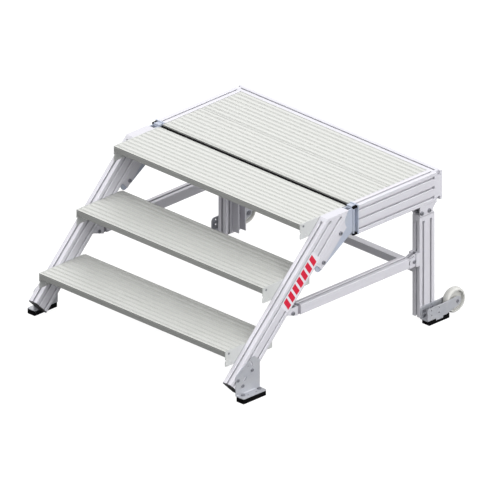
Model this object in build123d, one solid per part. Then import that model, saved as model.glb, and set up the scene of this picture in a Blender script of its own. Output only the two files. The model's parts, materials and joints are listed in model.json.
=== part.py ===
from build123d import *
import os
from math import atan2, cos, degrees, hypot, radians, sin

# Mobile ladder stand: three ribbed treads on a sloping pair of slotted profiles, and a platform
# on two rear legs. It rests on four rubber pads; two wheels behind the legs take over when the
# stand is tilted back.
#
# Millimetres. +X is to the right of a person who climbs the stand, +Y is the way they face, +Z is up.
# The parts are drawn with Y = 0 at the nosing of the lowest tread, and save() moves them so that the
# origin is at the middle of the footprint, on the floor.

# ---- driving dimensions: stairs ----
rise = 200.0
going = 200.0
step_names = ["lower", "middle", "upper"]
clear_width = 1000.0            # between the two stringers
tread_depth = 250.0             # of the lower and middle treads
stringer_setback = 76.4         # from the line of the nosings to the stringer's front face, square to it
foot_gap = 18.9                 # under the lowest corner of the stringer's foot cap
foot_cap = 4.0
top_cap = 12.0

# ---- driving dimensions: slotted profiles ----
cell = 40.0                     # one cell of the profile grid
slot_play = 0.2                 # of a bolt in a slot's mouth
slot_lip = 4.5
slot_bevel = 1.2
slot_chamber = 20.0
slot_floor = 10.0
slot_depth = 12.5
slot_shoulder = 2.0             # straight stretch of the chamber under the lip
profile_corner = 1.5
relief = 11.0                   # length over which a slot is opened up at a profile's end
relief_width = 12.0

# ---- driving dimensions: treads, deck planks and their plates ----
rib_pitch = 25.0
rib_height = 1.1
teeth_per_rib = 4
tooth_pitch = 3.2
tooth_base = 2.2
tooth_top = 1.2
skin = 3.0
lip_height = 24.0
web = 2.5
box_depth = 40.0
port_radius = 5.0
port_drop = 13.0
port_inset = 18.0
end_plate = 3.0
end_plate_drop = 64.0
end_plate_bolt_drop = 50.0
end_plate_notch = 5.0
countersink_depth = 2.6
lip_groove = 1.5
groove_top = 1.8                # below the tread's surface
groove_bottom = 6.0
tread_gap = 11.0                # from the upper tread's rear edge to the deck planks
lip_corner = 1.0
rear_corner = 8.0               # rounding of a tread's upper rear edge
end_plate_corner = 2.0
end_plate_shoulder = 10.0       # cut off the end plate's upper rear corner
cross_recess = 1.2              # arms of the screws' cross, and its depth
plank_play = 1.5

# ---- driving dimensions: platform ----
deck_depth = 420.0              # planks, front to rear
deck_lead = 39.8                # from the stringer's upper rear corner back to the planks
deck_rise = 4.0                 # deck surface over the upper tread
beam_rise = 5.0                 # top of the deck beams over the upper tread
beam_cells = 3
beam_setback = 9.0              # side beams start this far behind the planks' front edge
plank_height = 28.0
ledge_width = 30.0
ledge_height = 38.0
ledge_wall = 3.0
cover_length = 20.0
cover_notch_width = 19.0
cover_notch_depth = 16.0
seal_height = 16.0
seal_wall = 3.0
seal_drop = 2.0                 # below the upper tread
front_beam_play = 2.0           # behind the side beams' front ends
ledge_bolt_share = 0.55         # of a plank's depth, from the deck's edge to the ledge's bolts

# ---- driving dimensions: legs and bracing ----
leg_cells = 2
leg_bottom = 25.0
leg_top_gap = 61.0              # from the leg profile's top to the underside of the side beam
leg_cap = 20.0
leg_cap_groove = 3.0
leg_bracket_wall = 5.0
leg_bracket_lead = 2.0          # bracket's front edge behind the leg's front face
leg_bracket_toe = 2.5           # foot of the bracket behind the leg's front face
leg_bracket_heel = 5.0          # foot of the bracket in front of the leg's rear face
leg_bracket_tail = 13.0         # top of the bracket behind the leg's rear face
leg_bracket_waist = 0.4         # heights of its corners, as shares of the bracket's height
leg_bracket_shoulder = 0.7
bracket_bolt_share = 0.36       # height of the leg bracket's bolts, as a share of its height
bracket_bolt_shift = 10.0       # the same bolts, in front of the leg's slots
leg_channel_reach = 34.0
leg_channel_wall = 4.0
leg_channel_bottom = 34.0
cross_bar = 30.0
cross_bar_wall = 2.5
cross_bar_bottom = 202.5
cross_bar_plate = 3.0
cross_plate_width = 29.6
cross_plate_height = 72.0
cross_bolt_reach = 25.5         # bolts above and below the cross bar's axis
strut_bottom = 250.0
strut_bracket_reach = 36.4
bracket_bolt_lead = 27.0
bracket_bolt_rise = 18.0
bracket_wall = 5.0
bracket_sweep = 19.0            # its lower edge rises this much towards the stringer
strut_cap = 16.0
strut_cap_side = 2.5            # cap inside the strut's outline, all round
strut_cap_corner = 2.0
strut_rear_gap = 59.0           # from the strut's rear end to the leg
joint_back = 26.0               # pivot of the strut's rear joint, in front of the leg
joint_radius = 33.0
joint_offset = 8.0              # centre of the inner plate, behind and below the pivot
joint_drop = 4.0                # pivot below the strut's axis
joint_plate_radius = 29.0       # outer plate of the joint
joint_cut = 21.0                # its lower edge, below the pivot
joint_plate = 5.0
joint_base = 5.5
joint_height = 54.0
joint_base_bolt_pitch = 43.2
joint_ear = 18.0
lug_thickness = 15.0
lug_radius = 14.0
lug_plate = 6.0
lug_plate_side = 2.0
arc_share = 0.8                 # radius of the joint's arc slots, as a share of its plate's
arc_span = 36.0                 # degrees
arc_starts = [95.0, 158.0]
arc_slot_width = 5.0

# ---- driving dimensions: coupling between stairs and platform ----
coupling_length = 245.0
coupling_wall = 4.0
cope_radius = 38.0
cope_lead = 8.0                 # centre of the round cut, in front of the gusset's back plate
gusset_tip = 18.0
gusset_low = 20.0               # gusset's back plate starts this far over the beam's underside
coupling_bolt_start = 26.0
coupling_bolt_pitch = 130.0
coupling_bolt_share = 0.62      # of a cell behind the stringer
gusset_drop = 2.0               # gusset's top under the platform height
corner_plate = 3.0
corner_fold = 3.0               # of the corner plate onto the beam
buffer_thickness = 21.0
buffer_side = 9.0
buffer_corner = 1.5
buffer_rise = 5.0               # top of the buffers over the platform height
spacer_side = 3.0
spacer_inset = 1.0
waist_start = 6.0
waist_depth = 12.0
deck_bolt_grip = 25.0           # screwed into the beam's core
nesting_play = 0.3

# ---- driving dimensions: feet and wheels ----
steel = 3.0
pad_height = 20.0
pad_width = 40.0
pad_corner = 3.0
front_pad_lead = 24.2           # pad's front, before the stringer's rear face at the pad's height
front_pad_length = 122.0
rear_pad_lead = 11.0            # rear pad starts this far behind the leg's front face
rear_pad_length = 110.0
wheel_radius = 51.0
wheel_width = 31.0
wheel_lift = 5.0                # clearance of the wheel over the floor at rest
wheel_behind_leg = 82.0
wheel_crown = 6.0
wheel_shoulder = 1.5
wheel_rim = 11.0
web_half = 3.0                  # of the wheel's thinner web
web_draft = 2.0
hub_radius = 15.0
hub_draft = 1.0
hub_play = 0.5                  # between the hub and each cheek
axle_radius = 5.0
axle_head_radius = 7.0
axle_head_height = 3.0
axle_play = 0.06
bush_play = 0.05
bush_wall = 3.0
axle_nut_radius = 9.0
axle_nut_height = 8.0
axle_overhang = 1.0
cheek_lead = 2.0                # behind the leg's front face
wheel_room = 6.0                # from the bracket's web to the wheel
web_corner = 6.0
cheek_height = 48.0
cheek_corner = 14.0
cheek_end = 20.0
cheek_bolt_heights = [31.0, 52.0]
accessory_pitch_y = 40.0
accessory_pitch_z = 20.0
accessory_radius = 3.5
accessory_lead = 22.0
accessory_rise = 20.0
tab_share = 1.2                 # start of the tab behind the leg's front face, in cells
tab_length = 37.0
tab_drop = 8.0
foot_bolt_offset = 15.5         # from the stringer's outer face
foot_anchor_offset = 24.0
foot_anchor_pitch = 42.0
anchor_radius = 3.25
bend_radius = 4.0
foot_arc_radius = 88.0
foot_arc_width = 7.0
foot_arc_start = 26.0           # degrees
foot_arc_end = 42.0
foot_hole_radius = 3.5
foot_slot_width = 9.0
foot_slot_length = 11.4
foot_slot_level = 14.4          # height of the stringer's rear face from which its bolts are set out
foot_bolt_runs = [42.0, 39.0, 110.0]     # uphill from there; the first is in the front slot
foot_plate_top = 54.0           # over the uppermost bolt
foot_plate_front = 84.0         # height of its front edge over the pad
foot_plate_lead = 4.0           # in front of the pad
foot_plate_tail = 2.0           # behind the pad
flange_corner = 6.0
pad_sole_edge = 0.6
front_pad_bolt_lead = 22.0
front_pad_bolt_tail = 14.0
rear_pad_bolt_lead = 22.0
rear_pad_bolt_tail = 30.0

# ---- driving dimensions: fasteners ----
bolt_radius = 4.0
bolt_play = 0.4
thread_play = 0.05
head_radius = 8.0
head_height = 6.0
low_head_radius = 6.5
low_head_height = 4.5
head_rim = 1.0                  # of the joint's small bolt heads, past the shank
small_head_height = 4.0
head_soft = 0.2                 # rounding, flange, socket and hexagon, as shares of the head
flange_share = 0.3
socket_share = 0.6
hexagon_share = 0.92
key_share = 0.85                # of the shank's radius
shank_end = 1.0                 # of a bolt past its nut
pad_bolt_share = 0.7            # of a pad's height
nut_width = 13.6
nut_length = 20.0
nut_thickness = 5.0
nut_height = 7.0
screw_radius = 2.4
screw_play = 0.1
screw_head = 5.0
screw_length = 16.0

# ---- driving dimensions: generic label ----
label_length = 245.0
label_width = 56.0
label_film = 0.4
label_corner = 3.0
label_start = 332.0             # height of the stringer's front face where it starts
label_shift = 6.0               # behind the middle of the stringer

# ---- sizes that follow from them ----
slope = atan2(rise, going)
platform = rise * len(step_names)
half_width = clear_width / 2
outer = half_width + cell
middle = half_width + cell / 2
stringer_depth = 2 * cell
slot_mouth = 2 * bolt_radius + slot_play
core_bore = 2 * (bolt_radius + thread_play)
hollow_width = cell * 0.6       # hollow between two cells of a profile
hollow_height = cell * 0.3
beam_top = platform + beam_rise
beam_height = beam_cells * cell
beam_bottom = beam_top - beam_height
deck_top = platform + deck_rise
plank_bottom = deck_top - plank_height
top_tread_front = going * (len(step_names) - 1)
leg_depth = leg_cells * cell
leg_top = beam_bottom - leg_top_gap
strut_top = strut_bottom + cell
strut_axis = strut_bottom + cell / 2
wheel_z = wheel_radius + wheel_lift
across = (0, sin(slope), -cos(slope))
uphill = (0, cos(slope), sin(slope))


# ---- the stringers' own directions ----
def stringer_point(run, inset):
    """Y and Z of a point: run goes uphill, inset goes square into the stringer from its front face."""
    deep = stringer_setback + inset
    return deep * sin(slope) + run * cos(slope), rise - deep * cos(slope) + run * sin(slope)


def run_at(height, inset):
    """The run at which the line at this inset reaches a height."""
    return (height - rise + (stringer_setback + inset) * cos(slope)) / sin(slope)


def y_at(height, inset):
    """Y of the point of the line at this inset that lies at a height."""
    return stringer_point(run_at(height, inset), inset)[0]


deck_front = y_at(platform, stringer_depth) + deck_lead
deck_rear = deck_front + deck_depth
deck_middle = deck_front + deck_depth / 2
top_tread_depth = deck_front - tread_gap - top_tread_front
beam_front = deck_front + beam_setback
beam_middle = (beam_top + beam_bottom) / 2
gusset_back = beam_front - corner_plate - buffer_thickness
leg_rear = deck_rear
leg_front = leg_rear - leg_depth
leg_middle = leg_rear - leg_depth / 2
front_slot = leg_front + cell / 2
rear_slot = leg_rear - cell / 2
wheel_y = leg_rear + wheel_behind_leg
front_pad_start = y_at(pad_height, stringer_depth) - front_pad_lead
stringer_start = run_at(foot_gap, stringer_depth) + foot_cap
coupling_start = run_at(platform, stringer_depth) - coupling_length
coupling_inset = stringer_depth + cell
stand_front = stringer_point(stringer_start - foot_cap, 0)[0]
stand_rear = wheel_y + wheel_radius
origin_y = (stand_front + stand_rear) / 2


# ---- small helpers ----
def block(x0, x1, y0, y1, z0, z1):
    centre = Pos((x0 + x1) / 2, (y0 + y1) / 2, (z0 + z1) / 2)
    return centre * Box(x1 - x0, y1 - y0, z1 - z0)


def side_plate(outline, x0, x1):
    """A plate square to X, from an outline drawn in Y and Z."""
    return extrude(Plane.YZ.offset(x0) * outline, x1 - x0)


def area(points):
    return make_face(Polyline(points, close=True))


def disc(y, z, radius):
    return Pos(y, z) * Circle(radius)


def strip(start, end, width):
    """A slot outline with round ends between the centres of its two ends."""
    (y0, z0), (y1, z1) = start, end
    turn = Rotation(0, 0, degrees(atan2(z1 - z0, y1 - y0)))
    return Pos((y0 + y1) / 2, (z0 + z1) / 2) * turn * SlotCenterToCenter(hypot(y1 - y0, z1 - z0), width)


def arc_slot(y, z, radius, start, end, width):
    """A slot along an arc about a point, between two angles in degrees."""
    arc = CenterArc((y, z), radius, start, end - start)
    return make_face(offset(arc, width / 2).edges())


def x_pin(y, z, radius, x0, x1):
    return side_plate(disc(y, z, radius), x0, x1)


def seat(shape, point, outward, along):
    """Stand a shape on a face: its Z points outward and its X lies along the given direction."""
    return Plane(origin=point, x_dir=along, z_dir=outward).location * shape


def to_left(shape):
    return mirror(shape, about=Plane.YZ)


def save(name, *shapes):
    solids = [solid.moved(Location((0, -origin_y, 0))) for shape in shapes for solid in shape.solids()]
    export_step(solids[0] if len(solids) == 1 else Compound(solids), "parts/" + name + ".step")


def save_pair(name, right):
    save("right_" + name, right)
    save("left_" + name, to_left(right))


# ---- slotted profiles ----
def chamber():
    """Cross-section of a slot's chamber under the lip, for a face at y = 0."""
    half, floor = slot_chamber / 2, slot_floor / 2
    shoulder = slot_lip + slot_shoulder
    right = [(half, -slot_lip), (half, -shoulder), (floor, -slot_depth)]
    left = [(-x, y) for x, y in reversed(right)]
    return area(right + left)


def slot():
    """A slot with its mouth, whose two outer corners are bevelled."""
    half, wide = slot_mouth / 2, slot_mouth / 2 + slot_bevel
    right = [(wide, 0), (half, -slot_bevel), (half, -slot_lip)]
    left = [(-x, y) for x, y in reversed(right)]
    return chamber() + area(right + left)


def profile_section(wide, deep, open_sides=("+x", "-x", "+y", "-y")):
    """Section of wide by deep cells; a side that isn't open keeps its chambers but has no mouths."""
    section = RectangleRounded(wide * cell, deep * cell, profile_corner)
    places = {"+x": (90 - 180, deep), "-x": (90, deep), "+y": (0, wide), "-y": (180, wide)}
    for side, (turn, count) in places.items():
        reach = (wide if side in ("+x", "-x") else deep) * cell / 2
        cut = slot() if side in open_sides else chamber()
        for i in range(count):
            offset = (i - (count - 1) / 2) * cell
            section -= Rotation(0, 0, turn) * Pos(offset, reach) * cut
    for i in range(wide):
        for j in range(deep):
            section -= Pos((i - (wide - 1) / 2) * cell, (j - (deep - 1) / 2) * cell) * Circle(core_bore / 2)
    for j in range(deep - 1):
        section -= Pos(0, (j + 1 - deep / 2) * cell) * Rectangle(hollow_width, hollow_height)
    return section


def slot_window(point, outward, along):
    """A cut that opens a slot up to its chamber over the last stretch of a profile."""
    cut = Pos(-relief / 2, 0, -slot_lip / 2) * Box(relief, relief_width, slot_lip)
    return seat(cut, point, outward, along)


# ---- fasteners ----
def socket_bolt(length, radius=bolt_radius, head=head_radius, height=head_height):
    """Round head with a hexagon socket; the head stands on z = 0 and the shank points down."""
    top = Pos(0, 0, height / 2) * Cylinder(head, height)
    top = fillet(top.edges().filter_by(GeomType.CIRCLE).sort_by(Axis.Z)[-1], height * head_soft)
    top -= Pos(0, 0, height * (1 - socket_share)) * extrude(RegularPolygon(radius * key_share, 6), height)
    return top + Pos(0, 0, -length / 2) * Cylinder(radius, length)


def socket_bolt_low(length):
    return socket_bolt(length, head=low_head_radius, height=low_head_height)


def socket_bolt_small(length):
    return socket_bolt(length, head=bolt_radius + head_rim, height=small_head_height)


def hex_bolt(length):
    """Hexagon head on a washer flange, with the shank pointing down."""
    flange = head_height * flange_share
    head = Pos(0, 0, flange / 2) * Cylinder(head_radius, flange)
    head += Pos(0, 0, flange) * extrude(RegularPolygon(head_radius * hexagon_share, 6), head_height - flange)
    return head + Pos(0, 0, -length / 2) * Cylinder(bolt_radius, length)


def slot_nut():
    """Nut that lies under the lip of a slot, for a face at z = 0, with its length along X."""
    nut = Pos(0, 0, -slot_lip - nut_thickness / 2) * Box(nut_length, nut_width, nut_thickness)
    return nut - Cylinder(bolt_radius + thread_play, 4 * slot_depth)


def slot_bolt(point, outward, along, grip, bolt=hex_bolt):
    """A bolt and its nut in a slot; grip is the thickness that the bolt clamps on the face."""
    shank = grip + slot_lip + nut_thickness + shank_end
    return [seat(Pos(0, 0, grip) * bolt(shank), point, outward, along),
            seat(slot_nut(), point, outward, along)]


def plain_nut(y, z, x0, x1):
    nut = side_plate(Pos(y, z) * RegularPolygon(head_radius * hexagon_share, 6), x0, x1)
    return nut - x_pin(y, z, bolt_radius + thread_play, x0 - 1, x1 + 1)


def cross_bolt(y, z):
    """A bolt right through a piece one cell wide, with its nut on the inner side."""
    bolt = seat(socket_bolt(cell + nut_height + shank_end), (outer, y, z), (1, 0, 0), (0, 1, 0))
    return [bolt, plain_nut(y, z, half_width - nut_height, half_width)]


def both(shapes):
    return shapes + [to_left(shape) for shape in shapes]


# ---- stringers ----
def along_stringer(section, start, length, x=middle, inset=stringer_depth / 2):
    y, z = stringer_point(start, inset)
    return extrude(Plane(origin=(x, y, z), x_dir=(1, 0, 0), z_dir=uphill) * section, length)


def above(height):
    return block(0, 2 * outer, -going, deck_front + going, height, 2 * platform)


def stringer():
    full = run_at(platform, stringer_depth) - stringer_start
    body = along_stringer(profile_section(1, 2), stringer_start, full)
    body -= above(platform - top_cap)
    for inset in (cell / 2, stringer_depth - cell / 2):
        end = run_at(platform - top_cap, inset)
        y, z = stringer_point(end, inset)
        body -= slot_window((outer, y, z), (1, 0, 0), uphill)
    y, z = stringer_point(run_at(platform - top_cap, 0), 0)
    return body - slot_window((middle, y, z), (0, -across[1], -across[2]), uphill)


def stringer_top_cap():
    long = run_at(platform, stringer_depth) - stringer_start
    cap = along_stringer(RectangleRounded(cell, stringer_depth, profile_corner), stringer_start, long)
    cap -= above(platform)
    return cap & above(platform - top_cap)


def stringer_foot_cap():
    plate = RectangleRounded(cell, stringer_depth, 2 * profile_corner)
    cap = along_stringer(plate, stringer_start - foot_cap, foot_cap)
    for inset in (cell / 2, stringer_depth - cell / 2):
        plug = Circle(core_bore / 2 - screw_play)
        cap += along_stringer(plug, stringer_start, 2 * foot_cap, inset=inset)
    return cap


# ---- treads and planks ----
def ribbed_skin(start, end):
    """Section of a top skin whose upper face carries groups of small teeth at the rib pitch."""
    count = int((end - start) // rib_pitch) + 1
    top = [(start, -rib_height)]
    rake = (tooth_base - tooth_top) / 2
    for i in range(count * teeth_per_rib):
        foot = start + (i // teeth_per_rib) * rib_pitch + (i % teeth_per_rib + 1) * tooth_pitch
        if foot + tooth_base < end - tooth_pitch:
            top += [(foot, -rib_height), (foot + rake, 0),
                    (foot + rake + tooth_top, 0), (foot + tooth_base, -rib_height)]
    top += [(end, -rib_height), (end, -rib_height - skin), (start, -rib_height - skin)]
    return area(top)


def rect(y0, y1, z0, z1):
    return Pos((y0 + y1) / 2, (z0 + z1) / 2) * Rectangle(y1 - y0, z1 - z0)


def port_places(depth):
    return [port_inset, depth / 2, depth - port_inset]


def plank_section(depth, height, nose, soft_rear):
    """Hollow section from y = 0 at its front to y = depth; its upper face is at z = 0."""
    under = -rib_height - skin
    section = ribbed_skin(nose, depth - nose)
    section += rect(0, nose, under, 0) + rect(depth - nose, depth, under, 0)
    section += rect(0, skin, -height, 0) + rect(depth - skin, depth, -height, 0)
    for y in (box_depth - web, depth - box_depth):
        section += rect(y, y + web, -height, under)
    section += rect(0, box_depth, -height, -height + web)
    section += rect(depth - box_depth, depth, -height, -height + web)
    section += rect(depth / 2 - web / 2, depth / 2 + web / 2, -height, under)
    section += rect(depth / 2 - port_inset / 2, depth / 2 + port_inset / 2, -height, -height + web)
    for y in port_places(depth):
        section += disc(y, -port_drop, port_radius) + rect(y - web / 2, y + web / 2, -port_drop, under)
    for y in port_places(depth):
        section -= disc(y, -port_drop, screw_radius + screw_play)
    if soft_rear:
        edge = depth - rear_corner
        section -= rect(edge, depth, -rear_corner, 0) - disc(edge, -rear_corner, rear_corner)
    return section


def tread(depth):
    section = plank_section(depth, lip_height, 2 * skin, True)
    groove = rect(0, lip_groove, -groove_bottom, -groove_top)
    front_corner = rect(0, lip_corner, -lip_corner, 0) - disc(lip_corner, -lip_corner, lip_corner)
    return section - groove - front_corner


def end_plate_section(depth):
    """Outline of a tread's end plate, with its notch under the lip and its screw and bolt holes."""
    notch, drop = end_plate_notch, lip_height + 2 * end_plate_notch
    outline = area([(0, 0), (0, -drop), (notch, -drop - notch), (0, -drop - 2 * notch),
                    (0, -end_plate_drop), (depth, -end_plate_drop),
                    (depth, -end_plate_shoulder), (depth - end_plate_shoulder, 0)])
    for y in port_places(depth):
        outline -= disc(y, -port_drop, screw_radius + screw_play)
    outline -= disc(port_inset * 1.8, -end_plate_drop + 2 * port_radius, screw_radius)
    for y in tread_bolt_places():
        outline -= disc(y, -end_plate_bolt_drop, bolt_radius + bolt_play)
    return outline


def tread_bolt_places():
    """Distances behind a nosing at which the stringer's two side slots pass the bolts' height."""
    height = rise - end_plate_bolt_drop
    return [y_at(height, cell / 2), y_at(height, stringer_depth - cell / 2)]


def countersink(y, z, grow):
    """A cone that widens to the end plate's outer face; grow widens it for the hole."""
    cone = Cone(screw_radius + grow, screw_head + grow, countersink_depth)
    return seat(Pos(0, 0, -countersink_depth / 2) * cone, (half_width, y, z), (1, 0, 0), (0, 1, 0))


def tread_screw(y, z):
    shank = x_pin(y, z, screw_radius, half_width - screw_length, half_width - end_plate / 2)
    screw = shank + countersink(y, z, 0)
    for a, b in ((screw_head, cross_recess), (cross_recess, screw_head)):
        screw -= block(half_width - cross_recess, half_width + 1, y - a / 2, y + a / 2, z - b / 2, z + b / 2)
    return screw


def build_steps():
    screws, bolts = [], []
    for step, name in enumerate(step_names):
        depth = top_tread_depth if name == step_names[-1] else tread_depth
        move = Pos(0, step * going, (step + 1) * rise)
        half_tread = half_width - end_plate
        save(name + "_tread", move * side_plate(tread(depth), -half_tread, half_tread))
        plate = side_plate(end_plate_section(depth), half_tread, half_width)
        plate = chamfer(plate.edges().filter_by(Axis.X).sort_by(Axis.Z)[:2], end_plate_corner)
        for y in port_places(depth):
            plate -= countersink(y, -port_drop, screw_play)
            screws.append(move * tread_screw(y, -port_drop))
        save(name + "_tread_right_plate", move * plate)
        save(name + "_tread_left_plate", to_left(move * plate))
        for y in tread_bolt_places():
            point = (half_width, step * going + y, (step + 1) * rise - end_plate_bolt_drop)
            bolts += slot_bolt(point, (-1, 0, 0), uphill, end_plate)
    save("tread_screws", *both(screws))
    save("tread_bolts", *both(bolts))


# ---- coupling between the stringers and the platform ----
def coupling_bolt_points():
    first = coupling_start + coupling_bolt_start
    inset = stringer_depth + cell * coupling_bolt_share
    return [stringer_point(first, inset), stringer_point(first + coupling_bolt_pitch, inset)]


def cope_centre():
    return gusset_back - cope_lead, platform - cell


def coupling_channel():
    """Channel on the stringer's rear face, open to the rear, with its upper end cut round."""
    wall, deep = coupling_wall, cell
    centre = stringer_depth + deep / 2
    section = RectangleRounded(cell, deep, profile_corner)
    section -= Pos(0, wall) * Rectangle(cell - 2 * wall, deep)
    length = run_at(platform - top_cap, stringer_depth) - coupling_start
    body = along_stringer(section, coupling_start, length, inset=centre)
    y, z = cope_centre()
    body -= x_pin(y, z, cope_radius, half_width - 1, outer + 1)
    for y, z in coupling_bolt_points():
        body -= x_pin(y, z, bolt_radius + bolt_play, half_width - 1, outer + 1)
    return body


def coupling_gusset():
    """Bent bracket in the channel: two tapered cheeks and a back plate in front of the buffer."""
    front = stringer_depth + coupling_wall + nesting_play
    low, high = beam_bottom + gusset_low, platform - gusset_drop
    start = coupling_start + coupling_wall
    outline = area([stringer_point(start, front), stringer_point(start, coupling_inset + gusset_drop),
                    (gusset_back, low), (gusset_back, high), (y_at(high, front), high)])
    outline += disc(*stringer_point(coupling_start, front + gusset_tip), gusset_tip)
    for y, z in coupling_bolt_points():
        outline -= disc(y, z, bolt_radius + bolt_play)
    x0 = half_width + coupling_wall + nesting_play
    x1 = outer - coupling_wall - nesting_play
    body = side_plate(outline, x0, x1)
    inner = block(x0 + coupling_wall, x1 - coupling_wall, 0, gusset_back - coupling_wall, 0, 2 * platform)
    body -= inner
    for z in gusset_bolt_heights():
        body -= y_pin(middle, z, bolt_radius + bolt_play, gusset_back - 2 * coupling_wall, gusset_back + 1)
    return body


def gusset_bolt_heights():
    return [beam_top - cell * 1.5, beam_top - cell / 2]


def y_pin(x, z, radius, y0, y1):
    return seat(Pos(0, 0, (y1 - y0) / 2) * Cylinder(radius, y1 - y0), (x, y0, z), (0, 1, 0), (1, 0, 0))


def spacer_box(x0, x1, z0, z1):
    return block(x0, x1, gusset_back, beam_front - corner_plate, z0, z1)


def spacer_top():
    return platform + buffer_rise


def deck_spacer():
    """Metal spacer between gusset and beam, waisted at its rear, with seats for the two buffers."""
    body = spacer_box(half_width + spacer_side, outer - spacer_inset, beam_bottom, spacer_top())
    body -= block(outer - waist_depth, outer, gusset_back + waist_start, beam_front, 0, 2 * platform)
    reach, tall = outer - buffer_side, buffer_side
    body -= spacer_box(reach, outer, spacer_top() - tall, spacer_top() + 1)
    body -= spacer_box(reach, outer, beam_bottom - 1, beam_bottom + tall)
    for z in gusset_bolt_heights():
        body -= y_pin(middle, z, bolt_radius + bolt_play, gusset_back - 1, beam_front)
    return body


def deck_buffers():
    """Rubber blocks at the spacer's upper and lower outer corners."""
    blocks = []
    for z0 in (spacer_top() - buffer_side, beam_bottom):
        body = spacer_box(outer - buffer_side, outer, z0, z0 + buffer_side)
        blocks.append(chamfer(body.edges().filter_by(Axis.Y).sort_by(Axis.X)[-2:], buffer_corner))
    return blocks


def corner_bracket():
    """Steel plate over the side beam's front end, folded onto the beam's outer face and its top."""
    front, rear, top = beam_front - corner_plate, beam_front + corner_fold, beam_top + steel
    body = block(half_width, outer + steel, front, beam_front, beam_bottom, top)
    body += block(outer, outer + steel, front, rear, beam_bottom, top)
    body += block(half_width, outer + steel, front, rear, beam_top, top)
    for z in gusset_bolt_heights():
        body -= y_pin(middle, z, bolt_radius + bolt_play, gusset_back - 1, beam_front + 1)
    return fillet(body.edges().filter_by(Axis.Z).sort_by(Axis.X)[-1], 1)


def coupling_bolts():
    bolts = []
    for y, z in coupling_bolt_points():
        bolts += cross_bolt(y, z)
    for z in gusset_bolt_heights():
        length = coupling_wall + buffer_thickness + corner_plate + deck_bolt_grip
        point = (middle, gusset_back - coupling_wall, z)
        bolts.append(seat(socket_bolt(length), point, (0, -1, 0), (1, 0, 0)))
    return bolts


# ---- platform frame and deck ----
def along_y(section, x, z, y0, y1):
    return extrude(Plane(origin=(x, y0, z), x_dir=(1, 0, 0), z_dir=(0, 1, 0)) * section, y1 - y0)


def along_x(section, y, z, x0, x1):
    return extrude(Plane(origin=(x0, y, z), x_dir=(0, 1, 0), z_dir=(1, 0, 0)) * section, x1 - x0)


def upright(section, x, y, z0, z1):
    return extrude(Plane(origin=(x, y, z0)) * section, z1 - z0)


def beam_slots():
    return [beam_bottom + (i + 0.5) * cell for i in range(beam_cells)]


def side_beam():
    body = along_y(profile_section(1, beam_cells), middle, beam_middle, beam_front, deck_rear)
    for z in beam_slots():
        body -= slot_window((outer, deck_rear, z), (1, 0, 0), (0, 1, 0))
    return body


def rear_beam():
    reach = outer - cover_length
    return along_x(profile_section(1, beam_cells), deck_rear + cell / 2, beam_middle, -reach, reach)


def rear_beam_cover():
    """Corner piece at the end of the rear beam, notched above and below where the slots end."""
    centre = deck_rear + cell / 2
    section = RectangleRounded(cell, beam_height, profile_corner)
    body = along_x(section, centre, beam_middle, outer - cover_length, outer)
    half, deep = cover_notch_width / 2, cover_notch_depth
    for z0, z1 in ((beam_top - deep, beam_top), (beam_bottom, beam_bottom + deep)):
        body -= block(outer - relief, outer, centre - half, centre + half, z0, z1)
    return body


def front_beam():
    y = beam_front + front_beam_play + cell / 2
    return along_x(profile_section(1, 2), y, plank_bottom - cell, -half_width, half_width)


def middle_support():
    return along_x(profile_section(1, 1), deck_middle, plank_bottom - cell / 2, -half_width, half_width)


def deck_ledge():
    """Angle along the side beam that carries the planks, cut away for the middle support."""
    y0, y1 = beam_front + front_beam_play + cell + 1, deck_rear
    inner = half_width - ledge_wall
    body = block(inner, half_width, y0, y1, plank_bottom - ledge_height, plank_bottom)
    body += block(half_width - ledge_width, half_width, y0, y1, plank_bottom - ledge_wall, plank_bottom)
    half = cell / 2 + nesting_play
    body -= block(0, half_width, deck_middle - half, deck_middle + half, 0, plank_bottom)
    for y in ledge_bolt_places():
        body -= x_pin(y, beam_slots()[1], bolt_radius + bolt_play, inner - 1, half_width + 1)
    return body


def ledge_bolt_places():
    lead = deck_depth / 2 * ledge_bolt_share
    return [deck_front + lead, deck_middle + lead]


def plank():
    depth = deck_depth / 2 - nesting_play
    half = half_width - plank_play
    section = plank_section(depth, plank_height, skin, False)
    return side_plate(section, -half, half)


def gap_seal():
    """Rubber strip that fills the gap between the upper tread and the deck."""
    y0, top = deck_front - tread_gap, platform - seal_drop
    reach = half_width - end_plate - 1
    seal = block(-reach, reach, y0, deck_front, top - seal_height, top)
    return seal - block(-outer, outer, y0 + seal_wall, deck_front - seal_wall, 0, top - seal_wall)


# ---- legs ----
def leg():
    body = upright(profile_section(1, leg_cells), middle, leg_middle, leg_bottom, leg_top)
    for y in (front_slot, rear_slot):
        body -= slot_window((outer, y, leg_top), (1, 0, 0), (0, 0, 1))
    return body - slot_window((middle, leg_front, leg_top), (0, -1, 0), (0, 0, 1))


def leg_top_cap():
    section = RectangleRounded(cell, leg_depth, profile_corner)
    top = leg_top + leg_cap
    body = upright(section, middle, leg_middle, leg_top, top)
    deep = leg_cap_groove
    groove = block(outer - deep, outer + 1, leg_front + leg_bracket_toe, leg_rear - deep, top - deep, top)
    return body - groove


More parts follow.
